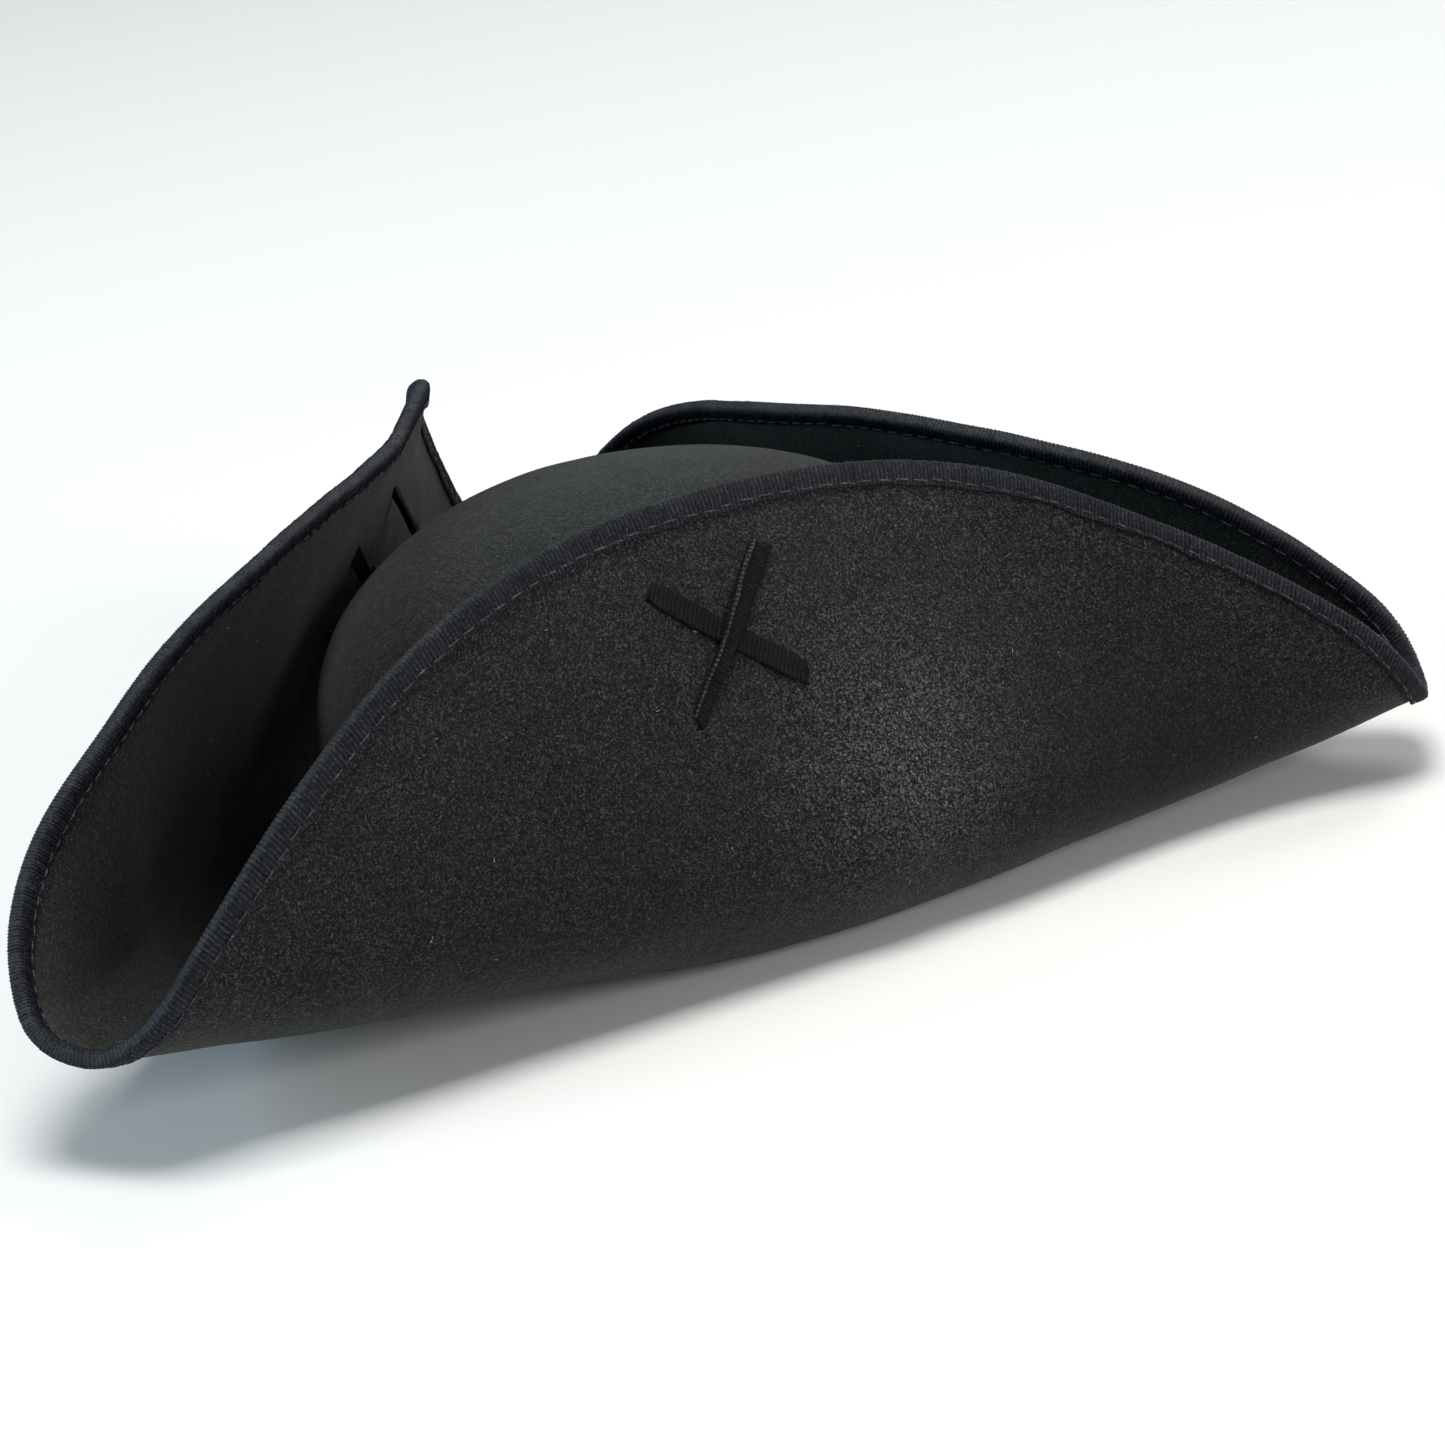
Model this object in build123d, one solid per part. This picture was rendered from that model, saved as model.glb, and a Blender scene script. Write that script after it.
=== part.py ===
from build123d import *
import os
from math import cos, degrees, pi, radians, sin

import numpy as np

# Tricorn pirate hat in felt, wearer's front towards -Y, up +Z, millimetres.
# The origin is the centre of the head opening, on the plane that the hat rests on.

# ---- driving dimensions ----
FELT = 2.4                 # thickness of the blocked felt
CROWN_X = 88.7             # outer half width of the crown, side to side
CROWN_Y = 97.2             # outer half length of the crown, front to back
CROWN_TOP = 98.0           # height of the crown's outside above the resting plane
CROWN_ROUND = 4.2          # how square the crown's shoulder is, 2 is an ellipse
OPENING_X = CROWN_X - FELT
OPENING_Y = CROWN_Y - FELT
RING = 2.5                 # width of the flat underside ring round the head opening

RIM_X = 215.0              # half axes and centre of the brim before it is folded up
RIM_Y = 224.0
RIM_CENTRE = np.array([-2.5, -2.1])

# Each side of the brim is bent up along a line square to "direction", at "distance" from
# the origin. "bow" moves the line outwards, in mm at 100 mm from its middle. The flap stands
# at "lean" degrees at its middle, changed by "ends" at both ends and by "skew" along it.
FOLDS = {
    "left": dict(direction=-30.9, distance=111.4, bow=2.7, lean=120.5, ends=-23.3, skew=18.7),
    "back": dict(direction=80.8, distance=108.2, bow=8.1, lean=123.8, ends=-30.3, skew=-0.1),
    "right": dict(direction=201.5, distance=95.6, bow=-4.6, lean=115.9, ends=-30.4, skew=-1.6),
}
FOLD_RADIUS = 17.5
FOLD_SOFTNESS = 6.0
FLAP_HALF = 170.0          # where along the flap "ends" and "skew" are reached

# Each corner of the brim curls up on a "radius" from "start", is squeezed by "pinch" and
# its tip is pushed sideways by "sway".
CORNERS = {
    "front": dict(direction=-60.4, start=27.8, radius=508.6, pinch=-0.135, sway=0.0),
    "back_left": dict(direction=19.3, start=63.1, radius=549.4, pinch=0.394, sway=0.0),
    "back_right": dict(direction=154.4, start=153.9, radius=119.5, pinch=0.216, sway=-4.0),
}
CURL_SOFTNESS = 20.0
CURL_FREE = 3.5            # nothing curls this close to the head opening
CURL_RAMP = 0.5            # beyond that a curl grows over this share of the opening's radius
CURL_MAX = 1.3             # steepest angle of a corner, radians
PINCH_START, PINCH_LENGTH = 110.0, 90.0
SWAY_START, SWAY_LENGTH = 150.0, 55.0

TAPE = 0.8                 # binding tape, folded over the rim
TAPE_WIDTH = 5.2
TAPE_GAP = 0.12            # between the tape and the felt
TAPE_NOSE = 0.9            # from the outermost edge of the tape to the felt inside it
THREAD_INSET = 4.1         # line of stitching, from the outermost edge
THREAD_WIDTH, THREAD_HEIGHT = 0.5, 0.35

STRAP_WIDTH = 6.3          # flat laces that cross in an X on each flap
STRAP = 1.2
STRAP_GAP = 0.05
LEG_WIDTH = 4.6            # where a lace goes in through the felt
SLIT_CLEARANCE = 0.15
KNOT = 4.2                 # diameter of the knot inside the crown
KNOT_LEVEL = 0.6           # a knot's height as a share of the height where its lace starts
# Ends of the laces from the middle of the X: along the flap, away from the fold.
UNDER_ENDS = ((-17.4, 12.2), (17.3, -9.8))
OVER_ENDS = ((14.3, 17.4), (-14.9, -15.0))
CROSSES = {
    "left": dict(along=-24.7, up=75.6, mirror=1),
    "back": dict(along=0.0, up=76.0, mirror=-1),
    "right": dict(along=-42.0, up=78.0, mirror=-1),
}

BAND_HEIGHT = 28.0         # sweatband
BAND = 1.0
BAND_INSET = 0.9           # from the head opening to the outside of the band
BAND_BOTTOM = 0.6
STITCH_RADIUS = 0.3
HEADLINE_STITCHES = 72
HEADLINE_STITCH_LENGTH = 5.0
BAND_STITCHES = 84
BAND_STITCH_LENGTH = 3.0
BAND_STITCH_HEIGHT = 4.0

SPANS_ROUND = 40           # surface patches round the hat
SPANS_ACROSS = 6           # and across the brim

UP = np.array([0.0, 0.0, 1.0])
SMALL = 0.02               # step for surface normals


# ---- the folded brim as a surface ----
def soft_start(value, width):
    """0 below -width/2, value above width/2, a smooth curve between."""
    half = width / 2
    if value <= -half:
        return 0.0
    if value >= half:
        return value
    return (value + half) ** 2 / (2 * width)


def smooth_step(value):
    t = min(max(value, 0.0), 1.0)
    return t * t * (3 - 2 * t)


def rolled(distance, radius, angle):
    """Distance walked on an arc of that radius up to that angle, then straight."""
    turn = min(distance / radius, angle)
    rest = max(distance - radius * angle, 0.0)
    return radius * sin(turn) + rest * cos(angle), radius * (1 - cos(turn)) + rest * sin(angle)


def axes_of(direction):
    """Unit vectors along a direction in the ground plane and square to it."""
    a = radians(direction)
    return np.array([cos(a), sin(a), 0.0]), np.array([-sin(a), cos(a), 0.0])


def fold_move(flat, fold):
    out, along = axes_of(fold["direction"])
    v = flat @ along
    u = flat @ out - fold["distance"] - fold["bow"] * (v / 100) ** 2
    place = min(max(v / FLAP_HALF, -1.3), 1.3)
    lean = radians(fold["lean"] + fold["ends"] * place * place + fold["skew"] * place)
    walked = soft_start(u, FOLD_SOFTNESS)
    reach, height = rolled(walked, FOLD_RADIUS, lean)
    return (reach - walked) * out + height * UP


def curl_move(flat, corner):
    out, _ = axes_of(corner["direction"])
    walked = soft_start(flat @ out - corner["start"], CURL_SOFTNESS)
    reach, height = rolled(walked, corner["radius"], CURL_MAX)
    beyond = np.hypot(flat[0] / (OPENING_X + CURL_FREE), flat[1] / (OPENING_Y + CURL_FREE)) - 1
    return smooth_step(beyond / CURL_RAMP) * ((reach - walked) * out + height * UP)


def middle_of_felt(x, y):
    """Where the point (x, y) of the flat brim lies once the brim is folded up."""
    flat = np.array([x, y, 0.0])
    point = flat + UP * FELT / 2
    for fold in FOLDS.values():
        point = point + fold_move(flat, fold)
    for corner in CORNERS.values():
        point = point + curl_move(flat, corner)
    for corner in CORNERS.values():
        out, along = axes_of(corner["direction"])
        reach = flat @ out
        squeeze = corner["pinch"] * smooth_step((reach - PINCH_START) / PINCH_LENGTH)
        push = corner["sway"] * smooth_step((reach - SWAY_START) / SWAY_LENGTH)
        point = point + (push - squeeze * (point @ along)) * along
    return point


def brim_point(x, y, lift):
    """The same, lifted off the middle of the felt; a positive lift is the crown's side."""
    here = middle_of_felt(x, y)
    normal = np.cross(middle_of_felt(x + SMALL, y) - here, middle_of_felt(x, y + SMALL) - here)
    return here + normal / np.linalg.norm(normal) * lift


def ellipse(a, x, y):
    return np.array([x * cos(a), y * sin(a)])


def ring_edge(a):
    return ellipse(a, OPENING_X + RING, OPENING_Y + RING)


def from_rim(a, inset):
    """Flat point at angle a, that far in from the outermost edge."""
    rim = RIM_CENTRE + ellipse(a, RIM_X, RIM_Y)
    inwards = ring_edge(a) - rim
    return rim + inwards / np.linalg.norm(inwards) * inset


def across_brim(a, part):
    """Flat point from the flat ring, part 0, to the felt's cut edge, part 1."""
    inner = ring_edge(a)
    return inner + (from_rim(a, TAPE_NOSE) - inner) * part


# ---- surfaces and solids from formulas ----
def controls(p0, p1, p2, p3):
    """Control points of the cubic that runs through four points at equal steps."""
    return [p0, (-5 * p0 + 18 * p1 - 9 * p2 + 2 * p3) / 6,
            (2 * p0 - 9 * p1 + 18 * p2 - 5 * p3) / 6, p3]


def patch(surface, a0, a1, b0, b1):
    """One smooth face of surface(a, b) between these limits."""
    steps = [0, 1 / 3, 2 / 3, 1]
    rows = [[surface(a0 + (a1 - a0) * s, b0 + (b1 - b0) * t) for t in steps] for s in steps]
    rows = [controls(*row) for row in rows]
    columns = [controls(*column) for column in zip(*rows)]
    return Face.make_bezier_surface([[tuple(p) for p in column] for column in columns])


def closed_solid(faces):
    solid = Solid(Shell(faces))
    return solid if solid.volume > 0 else Solid(solid.wrapped.Reversed())


def spans_round():
    step = 2 * pi / SPANS_ROUND
    return [(i * step, (i + 1) * step) for i in range(SPANS_ROUND)]


def ring_of(strips):
    """Faces that go once round the hat for every strip (surface, number of faces across)."""
    faces = []
    for surface, count in strips:
        for a0, a1 in spans_round():
            for i in range(count):
                faces.append(patch(surface, a0, a1, i / count, (i + 1) / count))
    return faces


def edge_loop(curve):
    """Closed wire through curve(a), with the same pieces as the patches beside it."""
    edges = []
    for a0, a1 in spans_round():
        points = [curve(a0 + (a1 - a0) * s) for s in (0, 1 / 3, 2 / 3, 1)]
        edges.append(Edge.make_bezier(*[tuple(p) for p in controls(*points)]))
    return Wire(edges)


def flat_ring(z):
    def outer(a):
        return np.append(ring_edge(a), z)

    def inner(a):
        return np.append(ellipse(a, OPENING_X, OPENING_Y), z)
    return Face(edge_loop(outer), [edge_loop(inner)])


# ---- felt ----
def make_brim():
    half = FELT / 2
    strips = [
        (lambda a, w: brim_point(*across_brim(a, w), half), SPANS_ACROSS),
        (lambda a, w: brim_point(*across_brim(a, w), -half), SPANS_ACROSS),
        (lambda a, w: brim_point(*across_brim(a, 1), FELT * w - half), 1),
        (lambda a, w: np.append(ellipse(a, OPENING_X, OPENING_Y), FELT * w), 1),
    ]
    return closed_solid(ring_of(strips) + [flat_ring(0.0), flat_ring(FELT)])


def crown_profile(turn):
    """Radius and height on the outside of the crown, from its foot at 0 to its top at 90."""
    radius = CROWN_Y * cos(radians(turn))
    return radius, CROWN_TOP * sin(radians(turn)) ** (2 / CROWN_ROUND)


def make_crown():
    turns = [7.5 * i for i in range(1, 12)]
    outside = [(CROWN_Y, FELT)] + [crown_profile(t) for t in turns] + [(0, CROWN_TOP)]
    inside = [(CROWN_Y - FELT, FELT)]
    for t in turns:
        r0, z0 = crown_profile(t - 0.5)
        r1, z1 = crown_profile(t + 0.5)
        length = np.hypot(r1 - r0, z1 - z0)
        r, z = crown_profile(t)
        inside.append((r - (z1 - z0) / length * FELT, z + (r1 - r0) / length * FELT))
    inside.append((0, CROWN_TOP - FELT))
    ends = [(0, 0, 1), (-1, 0, 0)]
    profile = Wire([
        Edge.make_spline([(r, 0, z) for r, z in outside], tangents=ends),
        Edge.make_line((0, 0, CROWN_TOP), (0, 0, CROWN_TOP - FELT)),
        Edge.make_spline([(r, 0, z) for r, z in inside], tangents=ends),
        Edge.make_line((CROWN_Y, 0, FELT), (CROWN_Y - FELT, 0, FELT)),
    ])
    round_crown = revolve(Face(profile), Axis.Z)
    return scale(round_crown, by=(CROWN_X / CROWN_Y, 1, 1)).solid()


# ---- binding ----
def make_binding():
    inner = FELT / 2 + TAPE_GAP
    outer = inner + TAPE
    flats = [(TAPE_WIDTH, TAPE_NOSE, outer), (TAPE_NOSE, TAPE_WIDTH, -outer),
             (TAPE_WIDTH, TAPE_NOSE - TAPE_GAP, -inner), (TAPE_NOSE - TAPE_GAP, TAPE_WIDTH, inner)]

    def flat(start, end, lift):
        return lambda a, w: brim_point(*from_rim(a, start + (end - start) * w), lift)

    def nose(a, w):
        inset = TAPE_NOSE * (1 - sin(pi * w))
        return brim_point(*from_rim(a, inset), outer * cos(pi * w))

    def fold_inside(a, w):
        return brim_point(*from_rim(a, TAPE_NOSE - TAPE_GAP), inner * (2 * w - 1))

    def cut_edge(side):
        return lambda a, w: brim_point(*from_rim(a, TAPE_WIDTH), side * (inner + TAPE * w))
    strips = [(flat(*values), 1) for values in flats]
    strips += [(nose, 2), (fold_inside, 1), (cut_edge(1), 1), (cut_edge(-1), 1)]
    return closed_solid(ring_of(strips))


def make_binding_thread(side):
    """The line of stitching that holds the tape, on one side of the brim."""
    low = FELT / 2 + TAPE_GAP + TAPE + 0.02
    high = low + THREAD_HEIGHT
    near = THREAD_INSET - THREAD_WIDTH / 2
    far = THREAD_INSET + THREAD_WIDTH / 2
    corners = [(near, low), (far, low), (far, high), (near, high)]
    strips = []
    for (i0, l0), (i1, l1) in zip(corners, corners[1:] + corners[:1]):
        strips.append((lambda a, w, i0=i0, l0=l0, i1=i1, l1=l1: brim_point(
            *from_rim(a, i0 + (i1 - i0) * w), side * (l0 + (l1 - l0) * w)), 1))
    return closed_solid(ring_of(strips))


# ---- laces ----
def on_flap(name, along, up):
    """Flat point on a flap, measured from the middle of its fold line."""
    fold = FOLDS[name]
    out, side = axes_of(fold["direction"])
    return (out * (fold["distance"] + up) + side * along)[:2]


def lace_ends(name, ends):
    cross = CROSSES[name]
    return [on_flap(name, cross["along"] + cross["mirror"] * v, cross["up"] + u) for v, u in ends]


def make_strap(name, ends, over):
    """The part of a lace that lies on the outside of the flap."""
    start, end = lace_ends(name, ends)
    length = np.linalg.norm(end - start)
    forward = (end - start) / length
    sideways = np.array([-forward[1], forward[0]])
    crossing = on_flap(name, CROSSES[name]["along"], CROSSES[name]["up"])
    middle = (crossing - start) @ forward
    hop = (STRAP + STRAP_GAP) * over
    low = FELT / 2 + STRAP_GAP

    def surface(s, w, level):
        lying = low + hop * smooth_step(2 - abs(s * length - middle) / STRAP_WIDTH) + level * STRAP
        x, y = start + forward * s * length + sideways * (w - 0.5) * STRAP_WIDTH
        return brim_point(x, y, -lying)
    spans = 8
    faces = []
    for i in range(spans):
        s0, s1 = i / spans, (i + 1) / spans
        for level in (0, 1):
            faces.append(patch(lambda s, w: surface(s, w, level), s0, s1, 0, 1))
        for w in (0, 1):
            faces.append(patch(lambda s, level: surface(s, w, level), s0, s1, 0, 1))
    for s in (0, 1):
        faces.append(patch(lambda w, level: surface(s, w, level), 0, 1, 0, 1))
    return closed_solid(faces)


def inside_crown(point):
    """The place just inside the crown's wall that faces the point, somewhat lower."""
    z = point[2] * KNOT_LEVEL
    shrink = (1 - (z / CROWN_TOP) ** CROWN_ROUND) ** 0.5
    a = np.arctan2(point[1] / CROWN_Y, point[0] / CROWN_X)
    wall = ellipse(a, CROWN_X * shrink, CROWN_Y * shrink)
    return np.append(wall * (1 - (FELT + KNOT * 0.75) / np.linalg.norm(wall)), z)


def leg_line(name, ends, which):
    """From the end of a strap to its knot inside the crown."""
    points = lace_ends(name, ends)
    inwards = points[1 - which] - points[which]
    x, y = points[which] + inwards / np.linalg.norm(inwards) * LEG_WIDTH / 2
    begin = brim_point(x, y, -(FELT / 2 + STRAP_GAP + STRAP / 2))
    along = brim_point(*(np.array([x, y]) + inwards / np.linalg.norm(inwards)), 0)
    return begin, inside_crown(begin), along - begin


def leg_box(begin, end, across, width, thickness):
    reach = np.linalg.norm(end - begin)
    plane = Plane(origin=tuple(begin), x_dir=tuple(across), z_dir=tuple(end - begin))
    return plane * Box(width, thickness, reach, align=(Align.CENTER, Align.CENTER, Align.MIN))


def make_lace(name, ends, over):
    lace = make_strap(name, ends, over)
    for which in (0, 1):
        begin, end, across = leg_line(name, ends, which)
        lace = lace + leg_box(begin, end, across, LEG_WIDTH, STRAP)
        lace = lace + Pos(*end) * Sphere(KNOT / 2)
    return lace.solid()


def slits(name):
    """Solids a little larger than the legs, to cut their way through the felt."""
    tools = []
    for ends in (UNDER_ENDS, OVER_ENDS):
        for which in (0, 1):
            begin, end, across = leg_line(name, ends, which)
            gap = 2 * SLIT_CLEARANCE
            tools.append(leg_box(begin, end, across, LEG_WIDTH + gap, STRAP + gap))
    return tools


# ---- inside the crown ----
def upright_band(inset, thickness, bottom, height):
    outside = Ellipse(OPENING_X - inset, OPENING_Y - inset)
    inside = Ellipse(OPENING_X - inset - thickness, OPENING_Y - inset - thickness)
    return Pos(0, 0, bottom) * extrude(outside - inside, height)


def ring_of_stitches(count, inset, height, length, upright):
    """Short threads set round the head opening, standing or lying."""
    stitches = []
    for i in range(count):
        a = 2 * pi * i / count
        x, y = ellipse(a, OPENING_X - inset, OPENING_Y - inset)
        heading = degrees(np.arctan2(OPENING_Y * cos(a), -OPENING_X * sin(a)))
        turn = Rot(0, 0, heading) if upright else Rot(0, 0, heading) * Rot(0, 90, 0)
        stitches.append(Pos(x, y, height) * turn * Cylinder(STITCH_RADIUS, length))
    return Compound(children=stitches)


def make_parts():
    brim, crown = make_brim(), make_crown()
    parts = {}
    for name in FOLDS:
        parts["lace_under_" + name] = make_lace(name, UNDER_ENDS, 0)
        parts["lace_over_" + name] = make_lace(name, OVER_ENDS, 1)
        brim = brim - slits(name)
        crown = crown - slits(name)
    parts["crown"] = crown
    parts["brim"] = brim
    parts["edge_binding"] = make_binding()
    parts["binding_thread"] = Compound(children=[make_binding_thread(1), make_binding_thread(-1)])
    parts["sweatband"] = upright_band(BAND_INSET, BAND, BAND_BOTTOM, BAND_HEIGHT)
    seam_inset = STITCH_RADIUS + 0.05
    parts["headline_stitches"] = ring_of_stitches(
        HEADLINE_STITCHES, seam_inset, FELT + 0.6, HEADLINE_STITCH_LENGTH, True)
    band_inset = BAND_INSET + BAND + seam_inset
    parts["sweatband_stitches"] = ring_of_stitches(
        BAND_STITCHES, band_inset, BAND_STITCH_HEIGHT, BAND_STITCH_LENGTH, False)
    return parts


os.makedirs("parts", exist_ok=True)
for node, shape in make_parts().items():
    export_step(shape, "parts/" + node + ".step")
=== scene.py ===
import math

import bpy
import numpy as np
from mathutils import Matrix, Vector


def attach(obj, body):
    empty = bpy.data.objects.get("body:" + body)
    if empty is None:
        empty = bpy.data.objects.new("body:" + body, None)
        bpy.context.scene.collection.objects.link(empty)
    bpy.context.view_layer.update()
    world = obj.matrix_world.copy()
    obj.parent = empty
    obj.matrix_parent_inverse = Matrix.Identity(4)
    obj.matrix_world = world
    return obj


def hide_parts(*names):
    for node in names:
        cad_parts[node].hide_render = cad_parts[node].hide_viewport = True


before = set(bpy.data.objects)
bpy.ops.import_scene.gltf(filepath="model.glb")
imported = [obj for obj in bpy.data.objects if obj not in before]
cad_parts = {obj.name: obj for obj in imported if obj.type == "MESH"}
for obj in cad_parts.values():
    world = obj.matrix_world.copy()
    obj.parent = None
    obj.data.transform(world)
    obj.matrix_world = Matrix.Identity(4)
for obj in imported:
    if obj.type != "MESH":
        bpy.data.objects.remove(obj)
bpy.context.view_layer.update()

# Tricorn pirate hat. Lengths here are millimetres, and become metres where a mesh is made.
MM = 0.001

# ---- the hat's dimensions, the same as the CAD model's ----
FELT = 2.4
CROWN_X, CROWN_Y, CROWN_TOP, CROWN_ROUND = 88.7, 97.2, 98.0, 4.2
OPENING_X, OPENING_Y = CROWN_X - FELT, CROWN_Y - FELT
RING = 2.5
RIM_X, RIM_Y = 215.0, 224.0
RIM_CENTRE = (-2.5, -2.1)
# Each side of the brim is bent up along a line square to "direction", at "distance" from the origin.
# "bow" moves the line outwards, in mm at 100 mm from its middle. The flap stands at "lean" degrees
# at its middle, changed by "ends" at both ends and by "skew" along it.
FOLDS = {
    "left": dict(direction=-30.9, distance=111.4, bow=2.7, lean=120.5, ends=-23.3, skew=18.7),
    "back": dict(direction=80.8, distance=108.2, bow=8.1, lean=123.8, ends=-30.3, skew=-0.1),
    "right": dict(direction=201.5, distance=95.6, bow=-4.6, lean=115.9, ends=-30.4, skew=-1.6),
}
FOLD_RADIUS, FOLD_SOFTNESS = 17.5, 6.0
# "ends" and "skew" are reached at FLAP_HALF along the flap and go on growing to FLAP_PLACE_MAX of it.
FLAP_HALF, FLAP_PLACE_MAX = 170.0, 1.3
# Each corner of the brim curls up on a "radius" from "start", is squeezed by "pinch" and its tip is
# pushed sideways by "sway".
CORNERS = {
    "front": dict(direction=-60.4, start=27.8, radius=508.6, pinch=-0.135, sway=0.0),
    "back_left": dict(direction=19.3, start=63.1, radius=549.4, pinch=0.394, sway=0.0),
    "back_right": dict(direction=154.4, start=153.9, radius=119.5, pinch=0.216, sway=-4.0),
}
CURL_SOFTNESS, CURL_FREE, CURL_RAMP, CURL_MAX = 20.0, 3.5, 0.5, 1.3
PINCH_START, PINCH_LENGTH = 110.0, 90.0
SWAY_START, SWAY_LENGTH = 150.0, 55.0
TAPE, TAPE_WIDTH, TAPE_GAP, TAPE_NOSE = 0.8, 5.2, 0.12, 0.9
THREAD_INSET = 4.1
STRAP_WIDTH, STRAP, KNOT, KNOT_LEVEL = 6.3, 1.2, 4.2, 0.6
# Ends of the laces from the middle of the X: along the flap, away from the fold.
UNDER_ENDS = ((-17.4, 12.2), (17.3, -9.8))
OVER_ENDS = ((14.3, 17.4), (-14.9, -15.0))
CROSSES = {
    "left": dict(along=-24.7, up=75.6, mirror=1),
    "back": dict(along=0.0, up=76.0, mirror=-1),
    "right": dict(along=-42.0, up=78.0, mirror=-1),
}
BAND_HEIGHT, BAND, BAND_INSET, BAND_BOTTOM = 28.0, 1.0, 0.9, 0.6

# ---- details that the CAD model doesn't have ----
# Near the back right corner a short stretch of the right flap's rim bends over towards the crown.
TIP_DIRECTION, TIP_START, TIP_LENGTH, TIP_WIDTH = 173.0, 188.0, 28.0, 34.0
TIP_BEND = np.array([2.6, 1.9, 0.0])
# A soft ridge in the outside of the left flap, placed along the flap and up from its fold.
RIDGE_ALONG, RIDGE_UP, RIDGE_WIDTH, RIDGE_LENGTH, RIDGE_HEIGHT = 8.0, 38.0, 13.0, 26.0, 2.2
RIDGE_SLANT = 0.25
# Slight dents from blocking and handling: height, wavelength and seed of each size of dent.
BRIM_DENTS = ((0.55, 75.0, 3), (0.16, 22.0, 4))
CROWN_DENTS = ((0.7, 80.0, 8), (0.15, 20.0, 9))
CROWN_FLARE = 5.0          # radius with which the crown's foot runs into the brim
RIB_HEIGHT = 0.34          # ribs of the binding
LACE_RIB, LACE_RIB_HEIGHT = 1.25, 0.15     # pitch and height of the ribs on the laces
LACE_TUCK = 1.3            # how much of a lace's end turns into the felt
LACE_GAP, CROSSING_GAP = 0.05, 0.15        # from lace to felt, and from lace to lace
BINDING_STITCH, BINDING_STITCH_GAP = 3.7, 1.4
BINDING_THREAD, SEAM_THREAD = 0.27, 0.3    # radius of the threads
HEADLINE_STITCHES, BAND_STITCHES = 72, 84  # how many there are round the opening
SEAM_LEVEL = 0.14          # where the sweatband puckers at its seam, as a share of its height
LINT_COUNT, LINT_RADIUS, LINT_LENGTH, LINT_INSET = 260, 0.07, (0.7, 2.4), (8, 105)

# ---- how fine the meshes are ----
ROUND = 460                # felt: points round the hat
ACROSS = 92                # felt: points across the brim
RIBS = 1240                # ribs of the binding, one every 1.1 mm
RIB_POINTS = 4
LACE_RIB_POINTS = 4
STITCH_RINGS, STITCH_SIDES = 7, 6
KNOT_RINGS, KNOT_SIDES = 60, 8

# ---- colours, light and camera; lengths here are metres and angles degrees ----
FELT_NAP = ((0.0082, 0.0091, 0.0089), (0.0120, 0.0131, 0.0124))
FELT_FIBRE = (0.060, 0.063, 0.058)
TAPE_COLOUR = (0.0150, 0.0170, 0.0250)
LACE_COLOUR = (0.0036, 0.0044, 0.0072)
# colour of the painted highlight on the binding's nose and the upper laces' ridges
PAINTED_HIGHLIGHT_GREY = (0.080, 0.085, 0.092)
THREAD_COLOUR = (0.056, 0.059, 0.070)
LINT_COLOUR = (0.34, 0.35, 0.34)
TWILL_COLOURS = ((0.012, 0.012, 0.012), (0.036, 0.035, 0.034))
FLOOR_GREY, FLOOR_HALF, FLOOR_LEVEL = 0.70, 6.0, -0.0003
SURROUND_COLOUR, SURROUND_STRENGTH = (0.84, 0.94, 1.0), 0.15
LAMP_DISTANCE, LAMP_TARGET = 3.2, Vector((0, 0, 0.05))
# name, azimuth, elevation, size, power, colour
LAMPS = (
    ("overhead", 50, 84, 1.4, 100, (1.0, 1.0, 0.96)),
    ("right", 81, 20, 1.3, 62, (1.0, 1.0, 0.96)),
    ("left", -54, 20, 1.3, 56, (0.60, 0.82, 1.0)),
    ("back", 171, 50, 1.3, 26, (1.0, 1.0, 0.98)),
)
CAMERA_AZIMUTH, CAMERA_ELEVATION, CAMERA_ROLL, CAMERA_DISTANCE = 35.93, 20.08, -8.65, 1.1835
CAMERA_TARGET = Vector((0.0228, 0.0009, 0.0285))
CAMERA_LENS, CAMERA_SENSOR = 108.08, 36.0  # millimetres, as lenses are named

rng = np.random.default_rng(20)


# ---- meshes ----
def add_piece(name, points, faces, material, replaced=()):
    """A mesh object from points in millimetres, riding on the hat."""
    mesh = bpy.data.meshes.new(name)
    mesh.from_pydata((np.asarray(points).reshape(-1, 3) * MM).tolist(), [], faces)
    mesh.validate()
    mesh.polygons.foreach_set("use_smooth", [True] * len(mesh.polygons))
    mesh.materials.append(material)
    mesh.update()
    piece = bpy.data.objects.new(name, mesh)
    bpy.context.scene.collection.objects.link(piece)
    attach(piece, "root")
    if replaced:
        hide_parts(*replaced)
    return piece


def grid_faces(rows, columns, close_rows, close_columns, start=0):
    """Quads between the points of a grid, which may close round either way."""
    r = np.arange(rows if close_rows else rows - 1)
    c = np.arange(columns if close_columns else columns - 1)
    r, c = [x.ravel() for x in np.meshgrid(r, c, indexing="ij")]
    r1, c1 = (r + 1) % rows, (c + 1) % columns
    quads = np.stack([r * columns + c, r1 * columns + c, r1 * columns + c1, r * columns + c1], 1)
    return (quads + start).tolist()


def tube_faces(rows, columns, start=0):
    """An open tube of rings, with a flat cap on each end."""
    faces = grid_faces(rows, columns, False, True, start)
    faces.append([start + i for i in range(columns)])
    faces.append([start + (rows - 1) * columns + i for i in reversed(range(columns))])
    return faces


def unit(v):
    return v / np.linalg.norm(v, axis=-1, keepdims=True)


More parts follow.
